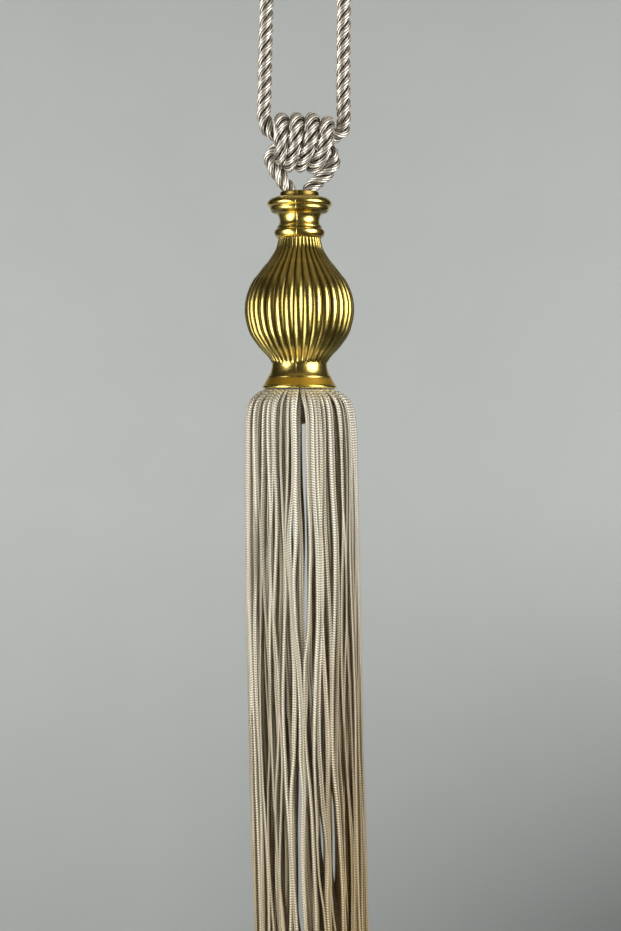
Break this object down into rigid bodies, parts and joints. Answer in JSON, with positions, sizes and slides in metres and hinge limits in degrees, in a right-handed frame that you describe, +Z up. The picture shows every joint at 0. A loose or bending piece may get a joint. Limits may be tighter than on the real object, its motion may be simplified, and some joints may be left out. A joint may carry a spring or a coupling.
{
  "type": "curtain tieback",
  "caption": "Key tassel tieback: a twisted rope loop with a wound barrel knot, a reeded moulded tassel head and a long skirt of flat twisted cords.",
  "frame": {"origin": "the hang point, on the underside of the rope at the top of its loop, where a wall hook carries it", "axes": "+Z up along the hanging tieback, -Y towards the viewer of the picture, +X to the viewer's right"},
  "size_m": [0.0632, 0.0568, 0.5321],
  "materials": {
    "ivory_rope": "satin twisted rayon rope, ivory",
    "gold_moulding": "bright gold metal plating on a moulded head",
    "cream_cords": "fine satin flat twisted cord, cream"
  },
  "bodies": {
    "root": {"rope": "ivory_rope", "knot": "ivory_rope", "head": "gold_moulding", "skirt": "cream_cords"}
  },
  "joints": []
}
